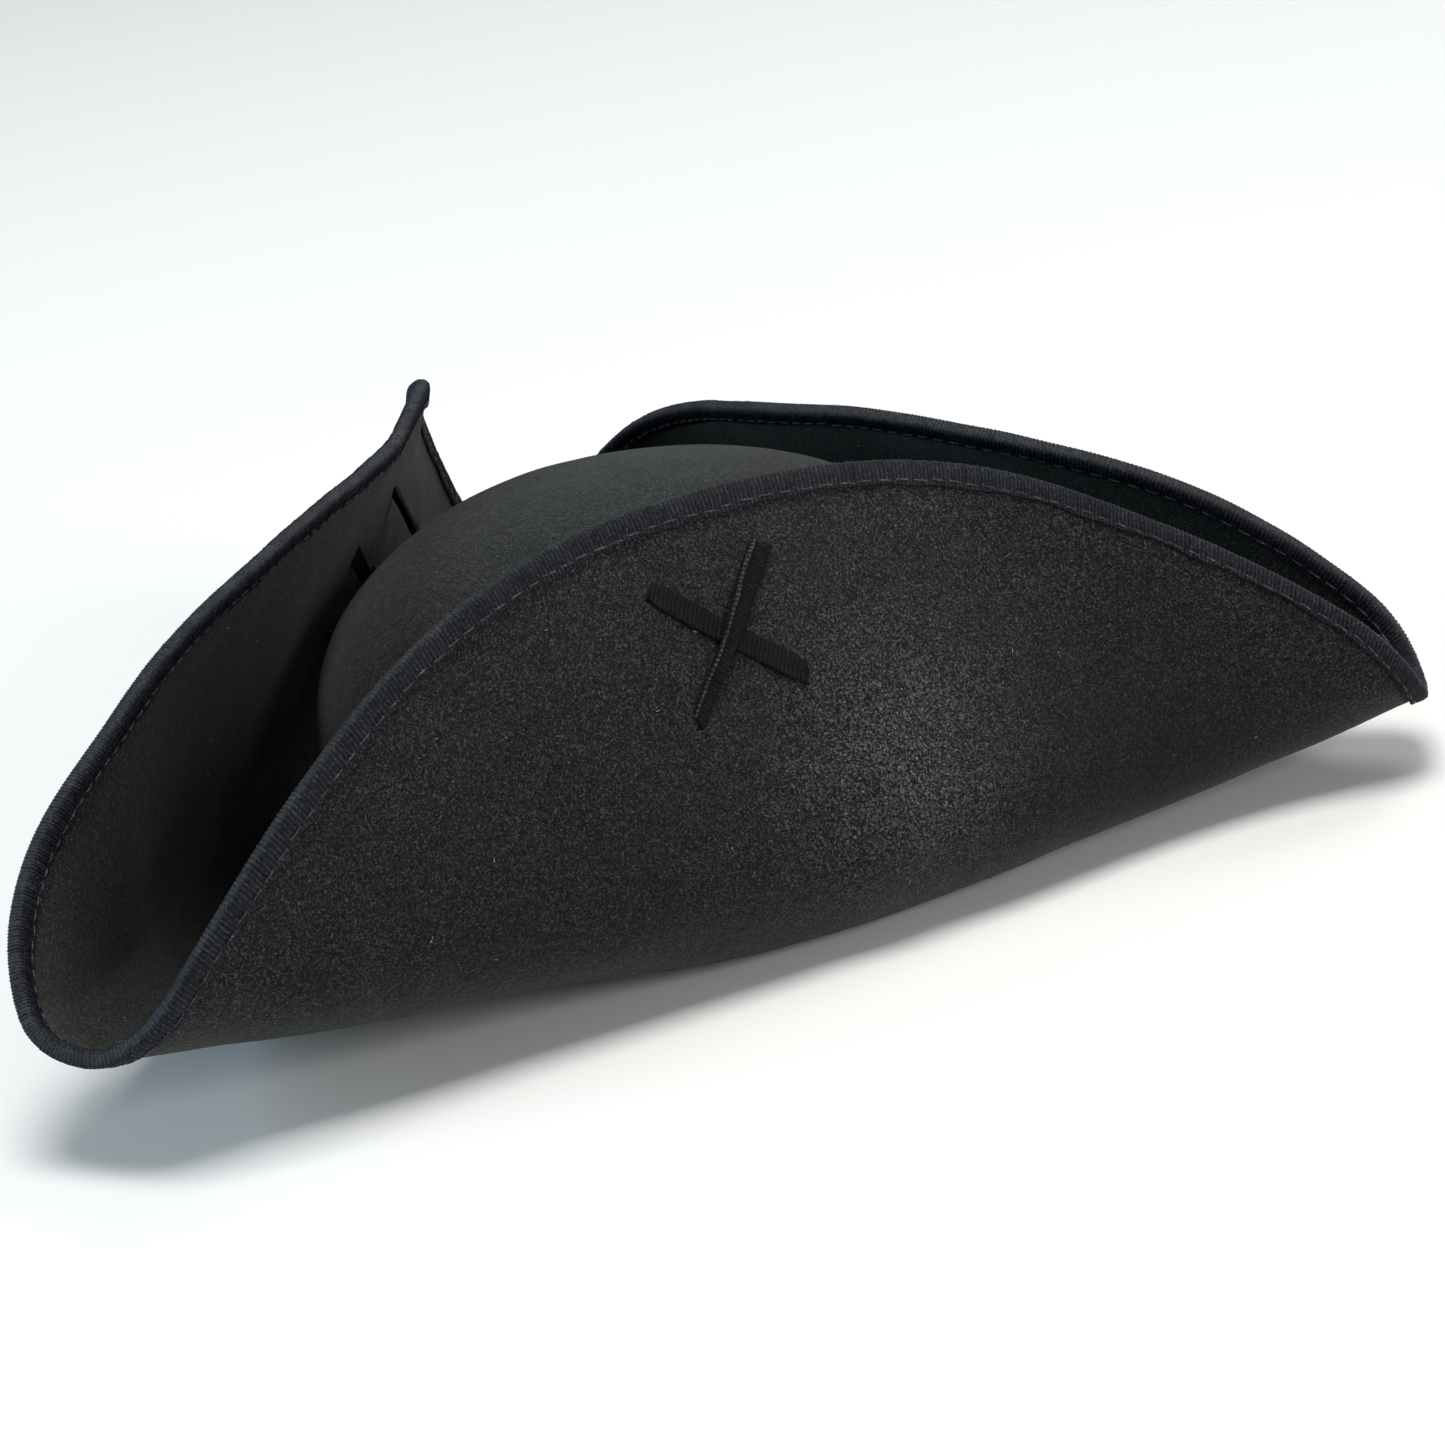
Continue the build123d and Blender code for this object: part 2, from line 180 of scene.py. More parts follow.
def ripple(points, wavelength, seed):
    """Soft unevenness between about -1 and 1, from waves in many directions."""
    waves, usual_peak = 14, 4.5
    made = np.random.default_rng(seed)
    total = 0.0
    for _ in range(waves):
        way = made.normal(size=3)
        way *= 2 * math.pi / (wavelength * made.uniform(0.7, 1.5)) / np.linalg.norm(way)
        total = total + np.sin(points @ way + made.uniform(0, 2 * math.pi))
    return total / usual_peak


def dents(points, sizes):
    return sum(height * ripple(points, wavelength, seed) for height, wavelength, seed in sizes)


# ---- the folded brim as a surface, for whole arrays of points ----
def smooth_step(value):
    """0 up to 0 and 1 from 1 on, with an S-shaped curve between."""
    t = np.clip(value, 0, 1)
    return t * t * (3 - 2 * t)


def soft_start(value, width):
    """0 below 0 and the value itself above it, joined by a parabola that is as wide as asked."""
    half = width / 2
    curve = (value + half) ** 2 / (2 * width)
    return np.where(value <= -half, 0.0, np.where(value >= half, value, curve))


def rolled(distance, radius, angle):
    """Reach and height of a strip that bends up on a radius to an angle and then runs straight."""
    turn = np.minimum(distance / radius, angle)
    rest = np.maximum(distance - radius * angle, 0.0)
    return (radius * np.sin(turn) + rest * np.cos(angle),
            radius * (1 - np.cos(turn)) + rest * np.sin(angle))


def axes_of(direction):
    """Level unit vectors: outwards in a direction given in degrees, and square to it."""
    a = math.radians(direction)
    return np.array([math.cos(a), math.sin(a), 0.0]), np.array([-math.sin(a), math.cos(a), 0.0])


def felt_middle(x, y):
    """Where the flat brim's point (x, y) lies once the brim is folded up."""
    flat = np.stack([x, y, np.zeros_like(x)], -1)
    point = flat + np.array([0, 0, FELT / 2])
    for fold in FOLDS.values():
        out, along = axes_of(fold["direction"])
        v = flat @ along
        u = flat @ out - fold["distance"] - fold["bow"] * (v / 100) ** 2
        place = np.clip(v / FLAP_HALF, -FLAP_PLACE_MAX, FLAP_PLACE_MAX)
        lean = np.radians(fold["lean"] + fold["ends"] * place ** 2 + fold["skew"] * place)
        walked = soft_start(u, FOLD_SOFTNESS)
        reach, height = rolled(walked, FOLD_RADIUS, lean)
        point = point + (reach - walked)[..., None] * out
        point[..., 2] += height
    beyond = np.hypot(x / (OPENING_X + CURL_FREE), y / (OPENING_Y + CURL_FREE)) - 1
    ramp = smooth_step(beyond / CURL_RAMP)
    for corner in CORNERS.values():
        out, _ = axes_of(corner["direction"])
        walked = soft_start(flat @ out - corner["start"], CURL_SOFTNESS)
        reach, height = rolled(walked, corner["radius"], CURL_MAX)
        point = point + (ramp * (reach - walked))[..., None] * out
        point[..., 2] += ramp * height
    for corner in CORNERS.values():
        out, along = axes_of(corner["direction"])
        reach = flat @ out
        squeeze = corner["pinch"] * smooth_step((reach - PINCH_START) / PINCH_LENGTH)
        push = corner["sway"] * smooth_step((reach - SWAY_START) / SWAY_LENGTH)
        point = point + (push - squeeze * (point @ along))[..., None] * along
    out, along = axes_of(TIP_DIRECTION)
    bent = smooth_step((flat @ out - TIP_START) / TIP_LENGTH) * np.exp(-(flat @ along / TIP_WIDTH) ** 2)
    return point + bent[..., None] * TIP_BEND


def felt_normal(x, y):
    """Unit normal of the felt, towards the crown's side."""
    step = 0.05
    here = felt_middle(x, y)
    return unit(np.cross(felt_middle(x + step, y) - here, felt_middle(x, y + step) - here))


def unevenness(x, y, here):
    """How far the felt stands off its true shape, with its dents and the left flap's ridge."""
    out, along = axes_of(FOLDS["left"]["direction"])
    u = x * out[0] + y * out[1] - FOLDS["left"]["distance"]
    v = x * along[0] + y * along[1]
    across = (v - RIDGE_ALONG - RIDGE_SLANT * (u - RIDGE_UP)) / RIDGE_WIDTH
    ridge = -RIDGE_HEIGHT * np.exp(-across ** 2 - ((u - RIDGE_UP) / RIDGE_LENGTH) ** 2)
    return dents(here, BRIM_DENTS) + ridge


def felt_point(x, y, lift):
    """The folded brim over the flat point (x, y), lifted off the middle of the felt."""
    here = felt_middle(x, y)
    start, ramp = 1.03, 0.3  # the unevenness sets in outside the crown's foot
    beyond_crown = smooth_step((np.hypot(x / CROWN_X, y / CROWN_Y) - start) / ramp)
    off = unevenness(x, y, here) * beyond_crown
    point = here + felt_normal(x, y) * (lift + off)[..., None]
    point[..., 2] = np.maximum(point[..., 2], 0)  # it rests on the floor, never through it
    return point


def rim_point(a, inset):
    """Flat point at angle a, that far in from the tape's outermost edge."""
    rim = np.stack([RIM_CENTRE[0] + RIM_X * np.cos(a), RIM_CENTRE[1] + RIM_Y * np.sin(a)], -1)
    ring = np.stack([(OPENING_X + RING) * np.cos(a), (OPENING_Y + RING) * np.sin(a)], -1)
    return rim + unit(ring - rim) * inset[..., None]


def rim_felt(a, inset, lift):
    """The folded brim's point at angle a and inset, lifted off the middle of the felt."""
    a, inset, lift = np.broadcast_arrays(a, inset, lift)
    flat = rim_point(a, inset)
    return felt_point(flat[..., 0], flat[..., 1], lift)


def angles(count):
    """That many angles, evenly spread round a circle."""
    return np.arange(count) * 2 * math.pi / count


# ---- felt pieces ----
def make_brim(material):
    """One closed skin: out along the crown's side, round the cut edge, back underneath."""
    a = angles(ROUND)[:, None]
    ring = np.concatenate([(OPENING_X + RING) * np.cos(a), (OPENING_Y + RING) * np.sin(a)], 1)
    outer = rim_point(a, np.full((1, 1), TAPE_NOSE))[:, 0]
    part = np.linspace(0, 1, ACROSS)
    half = FELT / 2
    turn = np.radians([60, 20, -20, -60])
    rounding = 0.004  # of the cut edge, as a share of the brim's width
    parts = np.concatenate([part[:-1], 1 - rounding * (1 - np.cos(turn)), part[:-1][::-1]])
    lifts = np.concatenate([np.full(ACROSS - 1, half), half * np.sin(turn), np.full(ACROSS - 1, -half)])
    flat = ring[:, None] + (outer - ring)[:, None] * parts[None, :, None]
    body = felt_point(flat[..., 0], flat[..., 1], np.broadcast_to(lifts, flat.shape[:2]))
    low = np.concatenate([OPENING_X * np.cos(a), OPENING_Y * np.sin(a), 0 * a], 1)[:, None]
    high = low + np.array([0, 0, FELT])
    points = np.concatenate([high, body, low], 1)
    return add_piece("felt_brim", points, grid_faces(*points.shape[:2], True, True),
                     material, ["brim"])


def crown_outline(turn):
    """Radius and height on the outside of the crown; turn is 0 at its foot, 90 at its top."""
    turn = np.radians(turn)
    return CROWN_Y * np.cos(turn), CROWN_TOP * np.sin(turn) ** (2 / CROWN_ROUND)


def make_crown(material):
    """Outside, with its foot flared into the brim, then the inside."""
    sunk = 0.1  # how far the foot starts below the brim's face
    arc = np.radians(np.linspace(90, 6, 8))
    foot_r = CROWN_Y + CROWN_FLARE * (1 - np.cos(arc))
    foot_z = FELT - sunk + CROWN_FLARE * (1 - np.sin(arc))
    # closer together where the outline rises steeply at its foot
    turns = np.concatenate([np.linspace(0.05, 12, 26), np.linspace(13, 89.3, 84)])
    r, z = crown_outline(turns)
    keep = z > FELT + CROWN_FLARE
    r, z = r[keep], z[keep]
    # the inside lies one felt's thickness in, square to the outline
    inner_r, inner_z = [], []
    step = 0.04
    for t in turns[keep][::-2]:
        (r0, r1), (z0, z1) = crown_outline(np.array([t - step, t + step]))
        length = math.hypot(r1 - r0, z1 - z0)
        mid_r, mid_z = crown_outline(t)
        inner_r.append(mid_r - (z1 - z0) / length * FELT)
        inner_z.append(mid_z + (r1 - r0) / length * FELT)
    point = 0.01  # the outside and the inside each close to a point at the top
    lowest = [8.0, 4.0, FELT]
    radius = np.concatenate([foot_r, r, [point, point], inner_r, [CROWN_Y - FELT] * len(lowest)])
    height = np.concatenate([foot_z, z, [CROWN_TOP, CROWN_TOP - FELT], inner_z, lowest])
    a = angles(ROUND)[:, None]
    points = np.stack([radius * CROWN_X / CROWN_Y * np.cos(a), radius * np.sin(a),
                       np.broadcast_to(height, (ROUND, len(height)))], -1)
    out = unit(points * np.array([1, 1, 0.6]))
    start, ramp = 4, 20  # the dents set in above the foot
    dent = dents(points, CROWN_DENTS) * smooth_step((points[..., 2] - start) / ramp)
    points = points + out * dent[..., None]
    return add_piece("felt_crown", points, grid_faces(*points.shape[:2], True, True),
                     material, ["crown"])


# ---- binding ----
def mark(piece, name, values):
    """Stores a number from 0 to 1 on each point of a tape, for its material."""
    attribute = piece.data.attributes.new(name, "FLOAT", "POINT")
    attribute.data.foreach_set("value", values.astype(np.float32).ravel())


def make_binding(material):
    """Ribbed tape folded over the rim. The ribs run across it, square to the rim."""
    inner, outer = FELT / 2 + TAPE_GAP, FELT / 2 + TAPE_GAP + TAPE
    # one face, from the tape's edge to the rim: inset, rise, share of the ribs' height. It is sunk
    # where the stitches pull it in.
    side = [(TAPE_WIDTH, -0.35, 0.0), (5.0, 0.0, 0.7), (4.55, 0.05, 1.0), (THREAD_INSET, -0.18, 0.5),
            (3.6, 0.06, 1.0), (1.8, 0.10, 1.0)]
    section = [(inset, outer + rise, rib) for inset, rise, rib in side]
    for turn in np.radians([62, 25, -25, -62]):
        section.append((TAPE_NOSE * 1.1 * (1 - math.cos(turn)), (outer + 0.05) * math.sin(turn), 1.0))
    section += [(inset, -(outer + rise), rib) for inset, rise, rib in side[::-1]]
    section += [(TAPE_WIDTH - 0.05, -inner, 0), (TAPE_NOSE, -inner, 0),
                (TAPE_NOSE, inner, 0), (TAPE_WIDTH - 0.05, inner, 0)]
    inset, lift, rib = np.array(section).T
    count = RIBS * RIB_POINTS
    a = angles(count)
    cycle = np.sin(np.arange(count) * 2 * math.pi / RIB_POINTS + 0.4)
    strength = 1 + 0.35 * np.repeat(rng.normal(size=RIBS), RIB_POINTS)
    wave = (cycle * strength)[:, None] * rib * RIB_HEIGHT / 2
    slack = 0.22 * np.sin(a * 31 + 2 * np.sin(a * 7)) + 0.12 * np.sin(a * 83)
    by_the_edge = inset > 4.5
    on_a_face = np.abs(lift) >= 1.5  # elsewhere the ribs stand outwards, round the rim
    inset = inset[None, :] + slack[:, None] * by_the_edge - wave * ~on_a_face
    lift = lift[None, :] + wave * np.sign(lift) * on_a_face
    points = rim_felt(a[:, None], inset, lift)
    piece = add_piece("binding_tape", points, grid_faces(*points.shape[:2], True, True),
                      material, ["edge_binding"])
    # painted highlight: the tape's nose is marked to be painted paler, where the light catches the rim
    highlight_strength = 0.3
    nose = (np.array(section)[:, 0] < TAPE_NOSE / 3) * highlight_strength
    mark(piece, "rib", np.broadcast_to(0.5 + 0.5 * cycle[:, None], points.shape[:2]))
    mark(piece, "edge", np.broadcast_to(nose, points.shape[:2]))
    return piece


def stitch_mesh(starts, ends, normals, radius, arch):
    """Short threads that come out of the cloth, arch over it and go back in."""
    along = ends - starts
    length = np.linalg.norm(along, axis=1, keepdims=True)
    sideways = np.cross(along / length, normals)
    t = np.linspace(0, 1, STITCH_RINGS)
    rise = arch * np.sin(math.pi * t) ** 0.6 - radius * 0.9 * (np.abs(2 * t - 1) ** 6)
    thick = radius * (0.55 + 0.45 * np.sin(math.pi * t) ** 0.4)
    turn = angles(STITCH_SIDES)
    points = (starts[:, None, None] + along[:, None, None] * t[None, :, None, None]
              + normals[:, None, None] * (rise[:, None] + thick[:, None] * np.sin(turn))[None, ..., None]
              + sideways[:, None, None] * (thick[:, None] * np.cos(turn))[None, ..., None])
    faces = []
    for i in range(len(starts)):
        faces += tube_faces(STITCH_RINGS, STITCH_SIDES, i * STITCH_RINGS * STITCH_SIDES)
    return points, faces


def make_binding_stitches(material):
    """A row of running stitches on each face of the brim, half a step apart."""
    uneven, wander, slant, arch = 0.03, 0.12, 0.15, 0.12
    perimeter = 2 * math.pi * (RIM_X + RIM_Y) / 2
    count = round(perimeter / (BINDING_STITCH + BINDING_STITCH_GAP))
    step = 2 * math.pi / count
    share = BINDING_STITCH / (BINDING_STITCH + BINDING_STITCH_GAP)
    lift = FELT / 2 + TAPE_GAP + TAPE
    everything, faces = [], []
    for side in (1, -1):
        a = np.arange(count) * step + step / 2 * (side < 0) + rng.normal(size=count) * step * uneven
        inset = THREAD_INSET + wander * rng.normal(size=count)
        starts = rim_felt(a, inset, side * lift)
        ends = rim_felt(a + step * share, inset + slant, side * lift)
        middle = rim_point(a + step * share / 2, inset)
        normals = side * felt_normal(middle[:, 0], middle[:, 1])
        points, made = stitch_mesh(starts, ends, normals, BINDING_THREAD, arch)
        offset = sum(len(p) for p in everything)
        faces += [[v + offset for v in face] for face in made]
        everything.append(points.reshape(-1, 3))
    return add_piece("binding_stitches", np.concatenate(everything), faces,
                     material, ["binding_thread"])


def make_lint(material):
    """Pale fibres that have settled on both faces of the brim."""
    arch = 0.25
    a = rng.uniform(0, 2 * math.pi, LINT_COUNT)
    inset = rng.uniform(*LINT_INSET, LINT_COUNT)
    side = rng.choice([-1.0, 1.0], LINT_COUNT)
    turn = rng.uniform(0, 2 * math.pi, LINT_COUNT)
    length = rng.uniform(*LINT_LENGTH, LINT_COUNT)
    starts = rim_felt(a, inset, side * FELT / 2)
    ends = rim_felt(a + length * np.cos(turn) / RIM_X, inset + length * np.sin(turn), side * FELT / 2)
    middle = rim_point(a, inset)
    normals = side[:, None] * felt_normal(middle[:, 0], middle[:, 1])
    points, faces = stitch_mesh(starts, ends, normals, LINT_RADIUS, arch)
    return add_piece("felt_lint", points.reshape(-1, 3), faces, material)


# ---- laces ----
def on_flap(name, along, up):
    """Flat point on a flap, that far along it and up from its fold."""
    fold = FOLDS[name]
    out, side = axes_of(fold["direction"])
    return (out * (fold["distance"] + up) + side * along)[:2]


def lace_ends(name, ends):
    cross = CROSSES[name]
    return [on_flap(name, cross["along"] + cross["mirror"] * v, cross["up"] + u) for v, u in ends]


def inside_crown(point):
    """The place just inside the crown's wall that faces the point, somewhat lower."""
    z = point[2] * KNOT_LEVEL
    shrink = (1 - (z / CROWN_TOP) ** CROWN_ROUND) ** 0.5
    a = math.atan2(point[1] / CROWN_Y, point[0] / CROWN_X)
    wall = np.array([CROWN_X * shrink * math.cos(a), CROWN_Y * shrink * math.sin(a)])
    return np.append(wall * (1 - (FELT + KNOT * 0.75) / np.linalg.norm(wall)), z)


def lace_leg(tip, before, side):
    """From the strap's tip round a bend, through the felt and straight to the knot in the crown."""
    overshoot, depth = 1.7, 2.6
    knot = inside_crown(tip)
    down = unit(knot - tip)
    bend = np.linspace(0, 1, 9)[1:, None]
    corner = tip + unit(tip - before) * overshoot
    into = corner + down * depth
    arc = (1 - bend) ** 2 * tip + 2 * bend * (1 - bend) * corner + bend ** 2 * into
    run = into + (knot - into) * np.linspace(0, 1, 40)[1:, None]
    leg = np.concatenate([arc, run])
    return leg, np.broadcast_to(unit(side - down * (side @ down)), leg.shape)


def lace_route(name, ends, over):
    """Centre line of a lace with its width direction: knot, flap, strap, flap, knot."""
    start, end = lace_ends(name, ends)
    length = np.linalg.norm(end - start)
    forward = (end - start) / length
    sideways = np.array([-forward[1], forward[0]])
    crossing = on_flap(name, CROSSES[name]["along"], CROSSES[name]["up"])
    middle = (crossing - start) @ forward
    steps = int(length / LACE_RIB * LACE_RIB_POINTS)
    s = LACE_TUCK + np.linspace(0, 1, steps) * (length - 2 * LACE_TUCK)
    hop = (STRAP + CROSSING_GAP) * over * smooth_step(2 - np.abs(s - middle) / STRAP_WIDTH)
    lift = -(FELT / 2 + STRAP / 2 + LACE_GAP + hop)
    flat = start + forward * s[:, None]
    # lies a little crooked, as a ribbon does
    crooked = (0.28 - 0.2 * over) * np.sin(s / length * math.pi * (1.4 + over))
    flat = flat + sideways * crooked[:, None]
    centre = felt_point(flat[:, 0], flat[:, 1], lift)
    beside = flat + sideways * 0.5
    side = unit(felt_point(beside[:, 0], beside[:, 1], lift) - centre)
    first, first_side = lace_leg(centre[0], centre[1], side[0])
    last, last_side = lace_leg(centre[-1], centre[-2], side[-1])
    route = np.concatenate([first[::-1], centre, last])
    return route, np.concatenate([first_side[::-1], side, last_side]), len(first), steps


def make_lace(name, ends, over, material):
    """A tape folded in half along its length, pulled flat, with a fold ridge on one side."""
    centre, side, first, steps = lace_route(name, ends, over)
    tangent = unit(np.gradient(centre, axis=0))
    up = unit(np.cross(side, tangent))
    if (up[first + steps // 2] @ (centre[first + steps // 2] * np.array([1, 1, 0]))) < 0:
        up = -up
    walked = np.concatenate([[0], np.cumsum(np.linalg.norm(np.diff(centre, axis=0), axis=1))])
    place = (walked - walked[first]) / (walked[first + steps - 1] - walked[first])
    # wide in the middle of the strap, gathered where it goes through the felt and along its legs
    in_leg = np.clip(np.maximum(-place, place - 1) * 12, 0, 1)
    near_end = np.exp(-(np.minimum(np.abs(place), np.abs(place - 1)) * 22) ** 2)
    width = STRAP_WIDTH * (1 - 0.27 * in_leg) * (1 + 0.03 * np.sin(place * 9 + over))
    # the lace on top also narrows towards one end
    width = width * (1 - 0.3 * smooth_step((place - 0.1) / 0.6) * over) * (1 - 0.14 * near_end)
    half = STRAP / 2
    # across the lace: share of the width, height, how much rib
    section = [(-0.5, 0.0, 1), (-0.45, 0.5, 1), (-0.34, 0.7, 1), (-0.2, 0.75, 1), (-0.04, 0.62, 1),
               (0.14, 0.55, 1), (0.28, 0.95, 1), (0.38, 1.25, 1), (0.47, 0.75, 1), (0.5, 0.0, 1),
               (0.48, -0.6, 0), (0.4, -1.0, 0), (0.1, -1.0, 0), (-0.2, -1.0, 0), (-0.45, -0.8, 0)]
    share, rise, rib = np.array(section).T
    cycle = np.sin(walked / LACE_RIB * 2 * math.pi)
    wave = (cycle * (1 + 0.3 * np.sin(walked * 1.7)))[:, None] * rib * LACE_RIB_HEIGHT
    ridge = np.abs(share - 0.43) < 0.06  # the tape's fold, higher and paler on the upper lace
    rise = np.where(ridge, rise * (1 + 1.1 * over), rise)
    flatter = np.where(rise[None, :] > 0, (1 - 0.5 * near_end)[:, None], 1.0)
    height = half * rise * flatter * (1 + 0.08 * np.sin(walked * 0.5 + 2)[:, None]) + wave
    points = centre[:, None] + side[:, None] * (width[:, None] * share)[..., None] \
        + up[:, None] * height[..., None]
    faces = tube_faces(*points.shape[:2])
    marks = np.broadcast_to(0.5 + 0.5 * cycle[:, None], points.shape[:2]).ravel()
    # painted highlight: dotted pale light on the tops of the ribs along the upper lace's fold ridge
    painted_highlight = over * ridge * (0.5 + 0.5 * cycle[:, None])
    edges = np.broadcast_to(painted_highlight, points.shape[:2]).ravel()
    points = points.reshape(-1, 3)
    for end in (centre[0], centre[-1]):
        knot, made = knot_mesh(end, len(points))
        points = np.concatenate([points, knot])
        marks = np.concatenate([marks, np.zeros(len(knot))])
        edges = np.concatenate([edges, np.zeros(len(knot))])
        faces += made
    level = "over" if over else "under"
    piece = add_piece(f"lace_ribbon_{level}_{name}", points, faces, material,
                      [f"lace_{level}_{name}"])
    mark(piece, "rib", marks)
    mark(piece, "edge", edges)
    return piece


def knot_mesh(place, start):
    """An overhand knot pulled tight: a cord that follows a trefoil."""
    t = angles(KNOT_RINGS)
    size, lace_radius = KNOT * 0.12, 0.62
    line = np.stack([np.sin(t) + 1.7 * np.sin(2 * t), np.cos(t) - 1.7 * np.cos(2 * t),
                     -1.3 * np.sin(3 * t)], -1) * size
    ahead = unit(np.roll(line, -1, 0) - np.roll(line, 1, 0))
    sideways = unit(np.cross(ahead, [0.2, 0.3, 1.0]))
    upwards = np.cross(sideways, ahead)
    turn = angles(KNOT_SIDES)
    ring = sideways[:, None] * np.cos(turn)[:, None] + upwards[:, None] * np.sin(turn)[:, None]
    points = place + line[:, None] + ring * lace_radius
    return points.reshape(-1, 3), grid_faces(KNOT_RINGS, KNOT_SIDES, True, True, start)


# ---- inside the crown ----
def oval(a, inset):
    """Points at the angles a round the head opening, that far inside its edge."""
    return np.stack([(OPENING_X - inset) * np.cos(a), (OPENING_Y - inset) * np.sin(a)], -1)


def make_sweatband(material):
    """A woven band with a rolled top edge, slightly puckered by its stitches."""
    # share of the band's thickness and share of its height, up the outside and down the inside
    section = [(0.0, 0.0), (0.0, 0.3), (0.0, 0.6), (0.0, 0.9), (0.0, 0.96), (-0.05, 0.985), (0.3, 1.0),
               (0.9, 0.995), (1.35, 0.975), (1.35, 0.95), (1.05, 0.935), (1.0, 0.8), (1.0, 0.6),
               (1.0, 0.4), (1.0, 0.25), (0.92, 0.17), (0.84, SEAM_LEVEL), (0.92, 0.11),
               (1.0, 0.05), (1.0, 0.0)]
    inset, level = np.array(section).T
    a = angles(BAND_STITCHES * 6)
    near_seam = np.exp(-((level - SEAM_LEVEL) / 0.12) ** 2) * (inset > 0.5)
    pucker = 0.10 * np.sin(a * BAND_STITCHES)[:, None] * near_seam
    sag = 0.25 * np.sin(a * 5 + 1)[:, None] * level ** 2 * (inset >= 0)
    flat = oval(a[:, None], BAND_INSET + inset * BAND + pucker + np.maximum(sag, 0))
    height = np.broadcast_to(BAND_BOTTOM + level * BAND_HEIGHT, flat.shape[:2])
    points = np.concatenate([flat, height[..., None]], -1)
    return add_piece("sweatband_tape", points, grid_faces(*points.shape[:2], True, True),
                     material, ["sweatband"])


def make_ring_stitches(name, node, material, count, inset, height, length, upright):
    """Stitches round the head opening, upright or lying along it."""
    a = angles(count)
    place = np.concatenate([oval(a, inset), np.full((count, 1), height)], 1)
    inwards = np.concatenate([unit(-oval(a, inset)), np.zeros((count, 1))], 1)
    along = np.broadcast_to([0.0, 0.0, 1.0], inwards.shape)
    if not upright:
        along = np.cross(inwards, along)
    points, faces = stitch_mesh(place - along * length / 2, place + along * length / 2,
                                inwards, SEAM_THREAD, 0.0)
    return add_piece(name, points, faces, material, [node])


# ---- materials; the scales of their noises are per metre ----
def new_material(name):
    material = bpy.data.materials.new(name)
    material.use_nodes = True
    nodes = material.node_tree.nodes
    nodes.clear()
    shader = nodes.new("ShaderNodeBsdfPrincipled")
    output = nodes.new("ShaderNodeOutputMaterial")
    material.node_tree.links.new(shader.outputs["BSDF"], output.inputs["Surface"])
    return material, shader


class Tree:
    """Short names for the nodes that the materials share."""

    def __init__(self, material):
        self.nodes = material.node_tree.nodes
        self.links = material.node_tree.links
        self.place = self.nodes.new("ShaderNodeTexCoord").outputs["Object"]

    def noise(self, scale, detail=2.0, roughness=0.5):
        node = self.nodes.new("ShaderNodeTexNoise")
        node.inputs["Scale"].default_value = scale
        node.inputs["Detail"].default_value = detail
        node.inputs["Roughness"].default_value = roughness
        self.links.new(self.place, node.inputs["Vector"])
        return node.outputs["Fac"]

    def ramp(self, factor, *stops):
        """Colours along a factor, each stop being a position and a colour."""
        node = self.nodes.new("ShaderNodeValToRGB")
        elements = node.color_ramp.elements
        while len(elements) < len(stops):
            elements.new(0.5)
        for element, (position, colour) in zip(elements, stops):
            element.position = position
            element.color = (*colour, 1)
        self.links.new(factor, node.inputs["Fac"])
        return node.outputs["Color"]

    def cells(self, scale):
        """A grey of its own for each small cell, as clumps of fibre have."""
        node = self.nodes.new("ShaderNodeTexVoronoi")
        node.inputs["Scale"].default_value = scale
        self.links.new(self.place, node.inputs["Vector"])
        split = self.nodes.new("ShaderNodeSeparateColor")
        self.links.new(node.outputs["Color"], split.inputs["Color"])
        return split.outputs["Red"]

    def mark(self, name):
        """A number that the mesh stores on its points."""
        node = self.nodes.new("ShaderNodeAttribute")
        node.attribute_name = name
        return node.outputs["Fac"]

    def near(self, spot, radius):
        """1 at a spot on the hat, in metres, and 0 beyond the radius."""
        node = self.nodes.new("ShaderNodeVectorMath")
        node.operation = "DISTANCE"
        node.inputs[1].default_value = spot
        self.links.new(self.place, node.inputs[0])
        scaled = self.nodes.new("ShaderNodeMapRange")
        scaled.interpolation_type = "SMOOTHSTEP"
        scaled.inputs["From Max"].default_value = radius
        scaled.inputs["To Min"].default_value = 1.0
        scaled.inputs["To Max"].default_value = 0.0
        self.links.new(node.outputs["Value"], scaled.inputs["Value"])
        return scaled.outputs["Result"]

    def grey(self, factor, low, high, dark=0.0, light=1.0):
        """Greys from dark to light while the factor goes from low to high."""
        return self.ramp(factor, (low, (dark,) * 3), (high, (light,) * 3))

    def mix(self, a, b, factor, blend="MIX"):
        """Each of the three may be a socket, a colour or a number."""
        node = self.nodes.new("ShaderNodeMix")
        node.data_type = "RGBA"
        node.blend_type = blend
        for value, socket in ((factor, node.inputs[0]), (a, node.inputs[6]), (b, node.inputs[7])):
            if isinstance(value, (int, float)):
                socket.default_value = value
            elif isinstance(value, tuple):
                socket.default_value = (*value, 1)
            else:
                self.links.new(value, socket)
        return node.outputs[2]

    def times(self, colour, other):
        return self.mix(colour, other, 1.0, "MULTIPLY")

    def bump(self, height, distance, strength, below=None):
        """A normal for a height up to the distance, on top of the bumps below it."""
        node = self.nodes.new("ShaderNodeBump")
        node.inputs["Distance"].default_value = distance
        node.inputs["Strength"].default_value = strength
        self.links.new(height, node.inputs["Height"])
        if below is not None:
            self.links.new(below, node.inputs["Normal"])
        return node.outputs["Normal"]


def place_of(flap, along, up):
    """Place on a folded flap, in metres."""
    x, y = on_flap(flap, along, up)
    return tuple(felt_middle(np.array(x), np.array(y)) * MM)


# a painted highlight: the felt of the left flap is painted paler beside its ridge, where the light
# catches it
PAINTED_HIGHLIGHT_SPOT, PAINTED_HIGHLIGHT_RADIUS, PAINTED_HIGHLIGHT_FACTOR = place_of("left", RIDGE_ALONG + 8, RIDGE_UP + 6), 0.050, 2.3
